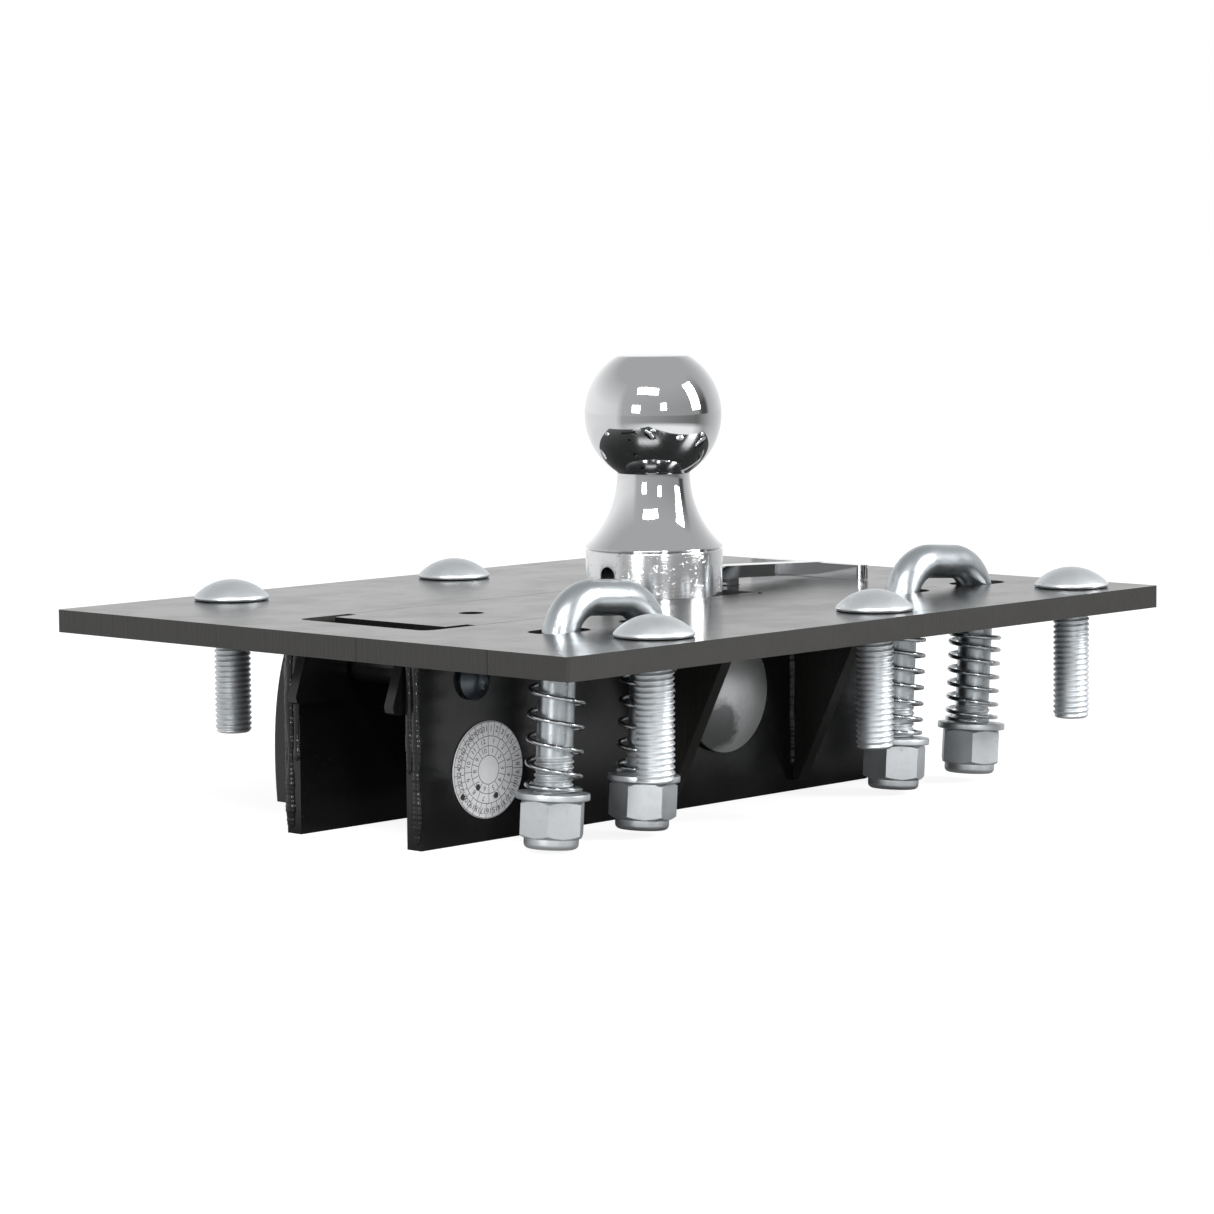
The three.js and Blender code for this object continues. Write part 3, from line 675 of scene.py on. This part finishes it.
def ubolt(loop, middle_x, span, y, apex, feet):
    """A bent bar with a thread on each leg, standing upright."""
    corner = UBOLT["corner"]
    thread_top = apex - UBOLT["plain_length"]
    bend_low = apex - corner - 4 * MM
    bend = []
    for centre_x, start, end in ((-(span / 2 - corner), 180, 90), (span / 2 - corner, 90, 0)):
        turned = arc((centre_x, apex - corner), corner, start, end, 16)
        bend += [Vector((middle_x + x, y, z)) for x, z in turned]
    left_leg = [Vector((middle_x - span / 2, y, z)) for z in (thread_top - 1 * MM, bend_low)]
    right_leg = [Vector((middle_x + span / 2, y, z)) for z in (bend_low, thread_top - 1 * MM)]
    parts = [sweep("bar", left_leg + bend + right_leg, UBOLT["bar"], ZINC_BAR, sides=40)]
    neck_z = thread_top + 0.6 * MM
    for side, foot in zip((-1, 1), feet):
        leg_low = foot + 1.4 * MM
        rows = [ring_row(AXIS, leg_low), ring_row(THREAD["radius"] - 1.6 * MM, leg_low)]
        rows += threaded_rows(leg_low + 0.8 * MM, thread_top)
        rows += [ring_row(UBOLT["bar"] - 0.2 * MM, neck_z), ring_row(AXIS, neck_z)]
        thread = from_grid("thread", rows, ZINC, caps=False, crease=50)
        parts.append(place(thread, Matrix.Translation((middle_x + side * span / 2, y, 0))))
    return join_objects(f"ubolt_{loop}_detail", parts)


def lock_nut(k, body, lean, foot):
    """A nut with its collar down at foot, and the nylon ring that shows inside the collar."""
    bore = THREAD["radius"] + 0.15 * MM
    sizes = (NUT["across"], NUT["height"], NUT["collar"], NUT["collar_height"])
    nut = hex_nut(f"nut_{k}_detail", *sizes, bore, ZINC)
    top = foot + Vector((0, 0, NUT["height"] + NUT["collar_height"]))
    turn = Matrix.Rotation(math.radians(NUT_TURNS[k]), 4, "Z")
    flip = Matrix.Translation(top) @ Matrix.Rotation(math.pi, 4, "X") @ turn
    place(nut, lean @ flip)
    stands_for(nut, body, "zinc_plate", f"nut_{k}")
    inner, outer = THREAD["radius"] - 0.6 * MM, bore + 1.5 * MM
    low, high = 0.9 * MM, 2.4 * MM
    section = [(inner, low), (outer, low), (outer, high), (inner, high)]
    ring = lathe(f"nut_{k}_insert", section, NYLON, 48, loop=True)
    place(ring, lean @ Matrix.Translation(foot))
    stands_for(ring, body, "zinc_plate")


def washer(k, body, lean, foot):
    """A flat washer with rounded edges."""
    inner, outer = THREAD["radius"] + 0.15 * MM, WASHER["radius"]
    thick, edge = WASHER["thick"], WASHER["edge"]
    corners = (
        ((outer - edge, edge), -90), ((outer - edge, thick - edge), 0),
        ((inner + edge, thick - edge), 90), ((inner + edge, edge), 180))
    section = []
    for centre, start in corners:
        section += arc(centre, edge, start, start + 90, 4)
    ring = lathe(f"washer_{k}_detail", section, ZINC, 72, 40, loop=True)
    place(ring, lean @ Matrix.Translation(foot))
    stands_for(ring, body, "zinc_plate", f"washer_{k}")


def chain_loop(loop, numbers):
    """A U-bolt with its nuts, washers and springs, built upright and then leaned."""
    lean = lean_matrix(loop)
    unlean = lean.inverted()
    body = f"chain_loop_{loop}"

    def heights(node):
        return [(unlean @ Vector(v.co)).z for v in frame["nodes"][node].data.vertices]

    left, right = (unlean @ middle(f"nut_{k}") for k in numbers)
    span = right.x - left.x
    middle_x = (left.x + right.x) / 2
    apex = max(heights(f"ubolt_{loop}")) - UBOLT["bar"]
    feet = [min(heights(f"nut_{k}")) for k in numbers]
    bolt = ubolt(loop, middle_x, span, left.y, apex, feet)
    place(bolt, lean)
    stands_for(bolt, body, "zinc_plate", f"ubolt_{loop}")
    for k, side, foot_z in zip(numbers, (-1, 1), feet):
        foot = Vector((middle_x + side * span / 2, left.y, foot_z))
        lock_nut(k, body, lean, foot)
        foot.z += NUT["height"] + NUT["collar_height"] + SEAT_GAP
        washer(k, body, lean, foot)
        foot.z += WASHER["thick"]
        coil_spring(k, lean, foot)


def coil_spring(k, lean, foot):
    """A compression spring with closed ends, reaching from the washer up towards the deck."""
    wire, radius, turns, dead = COIL["wire"], COIL["radius"], COIL["turns"], COIL["dead_turns"]
    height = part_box("deck_plate")[0].z - 1.7 * MM - foot.z
    path = []
    for i in range(COIL["steps"] + 1):
        t = turns * i / COIL["steps"]
        rise = min(max((t - dead) / (turns - 2 * dead), 0), 1)
        closed = min(t, dead) / dead + max(t - (turns - dead), 0) / dead
        z = wire + (height - 6 * wire) * rise + 2 * wire * closed
        a = -2 * math.pi * t + k
        path.append(foot + Vector((radius * math.cos(a), radius * math.sin(a), z)))
    coil = sweep(f"spring_{k}_coil", path, wire, SPRING, sides=10, start_axis=Vector((0, 0, 1)))
    place(coil, lean)
    stands_for(coil, "frame", "spring_steel", f"spring_{k}")
    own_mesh(coil)


# ---------------------------------------------------------------- pins
def headed_pin(node, profile, material, slot):
    """A turned pin lying across the rails, its head on the near side."""
    where = middle(node)
    pin = lathe(f"{node}_detail", profile, material, SMOOTH, 40)
    place(pin, Matrix.Translation((where.x, 0, where.z)) @ Matrix.Rotation(math.pi / 2, 4, "X"))
    stands_for(pin, "frame", slot, node)


def pins():
    """The fold pin, which is stepped down past the far rail, and the cross bolt."""
    outer = -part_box("rail_near")[0].y
    head_low = outer + SEAT_GAP
    step = -outer + 0.5 * MM
    edge = 1 * MM

    low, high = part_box("hinge_pin")
    radius = (high.x - low.x) / 2
    shank, reduced = FOLD_PIN["shank"], FOLD_PIN["reduced"]
    profile = [(AXIS, -high.y), (reduced - edge, -high.y), (reduced, -high.y + edge)]
    profile += [(reduced, step), (shank, step), (shank, head_low)]
    profile += [(radius - edge, head_low), (radius, head_low + edge)]
    profile += dome(radius, -low.y - head_low, FOLD_PIN["rim"], head_low)
    headed_pin("hinge_pin", profile, HOT_DIP, "cast_steel")

    low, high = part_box("cross_bolt")
    radius = (high.x - low.x) / 2
    shank = CROSS_BOLT["shank"]
    profile = [(AXIS, -high.y), (shank, -high.y), (shank, head_low), (radius, head_low)]
    profile += dome(radius, -low.y - head_low, CROSS_BOLT["rim"], head_low, 10)
    headed_pin("cross_bolt", profile, DARK_ZINC, "black_powder_coat")


# ---------------------------------------------------------------- label
def printed_text(words, size, where, turn):
    curve = bpy.data.curves.new("print", "FONT")
    curve.body = words
    curve.size = size
    curve.align_x = curve.align_y = "CENTER"
    curve.resolution_u = 2
    obj = bpy.data.objects.new("print", curve)
    bpy.context.scene.collection.objects.link(obj)
    bpy.context.view_layer.update()
    mesh = bpy.data.meshes.new_from_object(obj.evaluated_get(bpy.context.evaluated_depsgraph_get()))
    bpy.data.objects.remove(obj)
    mesh.transform(Matrix.Translation(where) @ Matrix.Rotation(turn, 4, "Z"))
    return mesh


# Each band of the wheel: inner and outer share of the radius, cells, and the numbers' height.
BANDS = ((0.69, 0.985, 31, 3.3 * MM), (0.49, 0.69, 12, 3.0 * MM), (0.295, 0.49, 10, 3.0 * MM))
PUNCHES = ((0.45, -133), (0.89, -147), (0.58, -69))  # share of the radius, and degrees round


def ring_line(bm, radius, width, z):
    """A thin printed circle."""
    sides = SMOOTH
    for side in (-1, 1):
        bmesh.ops.create_circle(
            bm, cap_ends=False, radius=radius + side * width / 2, segments=sides,
            matrix=Matrix.Translation((0, 0, z)))
    bm.verts.ensure_lookup_table()
    inner, outer = bm.verts[-2 * sides:-sides], bm.verts[-sides:]
    for j in range(sides):
        k = (j + 1) % sides
        bm.faces.new((inner[j], inner[k], outer[k], outer[j]))


def cell_line(bm, angle, inner, outer, z):
    """A thin printed line between two circles."""
    turn = Matrix.Rotation(angle, 4, "Z")
    half = 0.11 * MM
    corners = [(inner, -half), (outer, -half), (outer, half), (inner, half)]
    bm.faces.new([bm.verts.new(turn @ Vector((x, y, z))) for x, y in corners])


def wheel_lines(radius, z):
    """The circles and the lines between the wheel's cells."""
    bm = bmesh.new()
    for inner, outer, cells, _ in BANDS:
        ring_line(bm, radius * inner, 0.24 * MM, z)
        for i in range(cells):
            cell_line(bm, 2 * math.pi * i / cells + math.pi / 2, radius * inner, radius * outer, z)
    ring_line(bm, radius * 0.985, 0.2 * MM, z)
    lines = bpy.data.meshes.new("label_marks")
    bm.to_mesh(lines)
    bm.free()
    return lines


def wheel_numbers(radius, z):
    """Numbers counted clockwise from the top in every band."""
    meshes = []
    for inner, outer, cells, size in BANDS:
        for i in range(cells):
            a = math.pi / 2 - 2 * math.pi * (i + 0.5) / cells
            at = Vector((math.cos(a), math.sin(a), 0)) * radius * (inner + outer) / 2
            meshes.append(printed_text(str(i + 1), size, at + Vector((0, 0, z)), a - math.pi / 2))
    return meshes


def date_wheel():
    """A round inspection label: three bands of plain numbers, with punched marks."""
    low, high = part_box("inspection_label")
    where = middle("inspection_label")
    radius = (high.x - low.x) / 2
    thick = high.y - low.y
    edge = 0.15 * MM
    print_z = thick + 0.03 * MM
    profile = [(AXIS, 0), (radius, 0), (radius, thick - edge), (radius - edge, thick), (AXIS, thick)]
    disc = lathe("label_disc", profile, VINYL, SMOOTH, 40)
    bm = bmesh.new()
    for mesh in [wheel_lines(radius, print_z)] + wheel_numbers(radius, print_z):
        bm.from_mesh(mesh)
    for share, degrees in PUNCHES:
        a = math.radians(degrees)
        spot = (radius * share * math.cos(a), radius * share * math.sin(a), print_z + 0.02 * MM)
        bmesh.ops.create_circle(
            bm, cap_ends=True, radius=1.3 * MM, segments=20, matrix=Matrix.Translation(spot))
    printed = bpy.data.meshes.new("label_print")
    bm.to_mesh(printed)
    bm.free()
    ink = new_object("label_print", printed, INK)
    onto_rail = Matrix.Translation((where.x, high.y, where.z)) @ Matrix.Rotation(math.pi / 2, 4, "X")
    place(disc, onto_rail)
    place(ink, onto_rail)
    stands_for(disc, "frame", "label_vinyl", "inspection_label")
    stands_for(ink, "frame", "label_vinyl")


# ---------------------------------------------------------------- welds
def weld_bead(number, start, end, size, toward):
    """A rippled fillet bead from start to end; toward points out of the corner that it fills."""
    random.seed(number)
    start, end = Vector(start), Vector(end)
    along = (end - start).normalized()
    outward = Vector(toward).normalized()
    across = along.cross(outward)
    length = (end - start).length
    steps = max(6, round(length / (0.5 * MM)))
    sides = 12
    drift = random.uniform(0, 100)
    rows = []
    for i in range(steps + 1):
        s = length * i / steps
        ripple = 0.05 * math.sin(2 * math.pi * s / (1.9 * MM) + 2.5 * noise.noise((drift, s * 60, 0)))
        lumps = noise.noise((drift, s * 110, 1.7)) * 0.35 + noise.noise((drift, s * 420, 9.3)) * 0.16
        swell = 1 + ripple + lumps
        end_fade = min(1, 0.25 + s / (2 * MM), 0.25 + (length - s) / (2 * MM))
        r = size * swell * end_fade
        wander = across * noise.noise((drift, s * 70, 5.1)) * size * 0.25
        centre = start + along * s + wander
        row = []
        for j in range(sides):
            a = 2 * math.pi * j / sides
            skin = 1 + 0.10 * noise.noise((drift + 3 * math.cos(a), s * 500, 3 * math.sin(a)))
            row.append(centre + (outward * math.cos(a) * 0.55 + across * math.sin(a)) * r * skin)
        rows.append(row)
    bead = from_grid(f"weld_{number}", rows, COAT, crease=70)
    stands_for(bead, "frame", "black_powder_coat")


def rail_welds(rail, side, deck_low):
    """The start, end, size and direction of each bead on one rail; side is -1 near and 1 far."""
    low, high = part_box(f"rail_{rail}")
    outer, inner = (high.y, low.y) if side > 0 else (low.y, high.y)
    for start_x, end_x in ((low.x + 4 * MM, low.x + 60 * MM), (75 * MM, 108 * MM)):
        yield (start_x, outer, deck_low), (end_x, outer, deck_low), 3 * MM, (0, side, -1)
    # The rail's cut end carries a rough run of weld down each edge.
    outer_edge = (outer - side * 2.2 * MM, 2 * MM, 2.1 * MM)
    inner_edge = (inner + side * 1.8 * MM, 30 * MM, 1.7 * MM)
    for y, reach, size in (outer_edge, inner_edge):
        yield (low.x, y, high.z - 1 * MM), (low.x, y, low.z + reach), size, (-1, 0, 0)
    for which in ("left", "right"):
        g_low, g_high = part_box(f"gusset_{rail}_{which}")
        faces = ((g_low.x, -1), (g_high.x, 1))
        for x, toward in faces:
            top, foot = (x, outer, g_high.z - 3 * MM), (x, outer, g_low.z + 6 * MM)
            yield top, foot, 2.2 * MM, (toward, side, 0)
        tip = g_low.y if side < 0 else g_high.y
        for x, toward in faces:
            root_end, tip_end = outer + side * 4 * MM, tip - side * 4 * MM
            yield (x, root_end, deck_low), (x, tip_end, deck_low), 2.2 * MM, (toward, 0, -1)


def welds():
    """Beads along the rails, the gussets and the end stiffener."""
    deck_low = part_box("deck_plate")[0].z
    beads = [*rail_welds("near", -1, deck_low), *rail_welds("far", 1, deck_low)]
    low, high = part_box("end_stiffener")
    top, foot = (low.x, low.y, high.z - 2 * MM), (low.x, low.y, low.z + 2 * MM)
    beads.append((top, foot, 2.0 * MM, (-1, 0.6, 0)))
    for number, bead in enumerate(beads, 1):
        weld_bead(number, *bead)


camera_and_light()
dress_cad_nodes()
tow_ball()
for bolt_number in range(1, 7):
    carriage_bolt(f"carriage_bolt_{bolt_number}")
chain_loop("left", (1, 2))
chain_loop("right", (3, 4))
pins()
date_wheel()
welds()
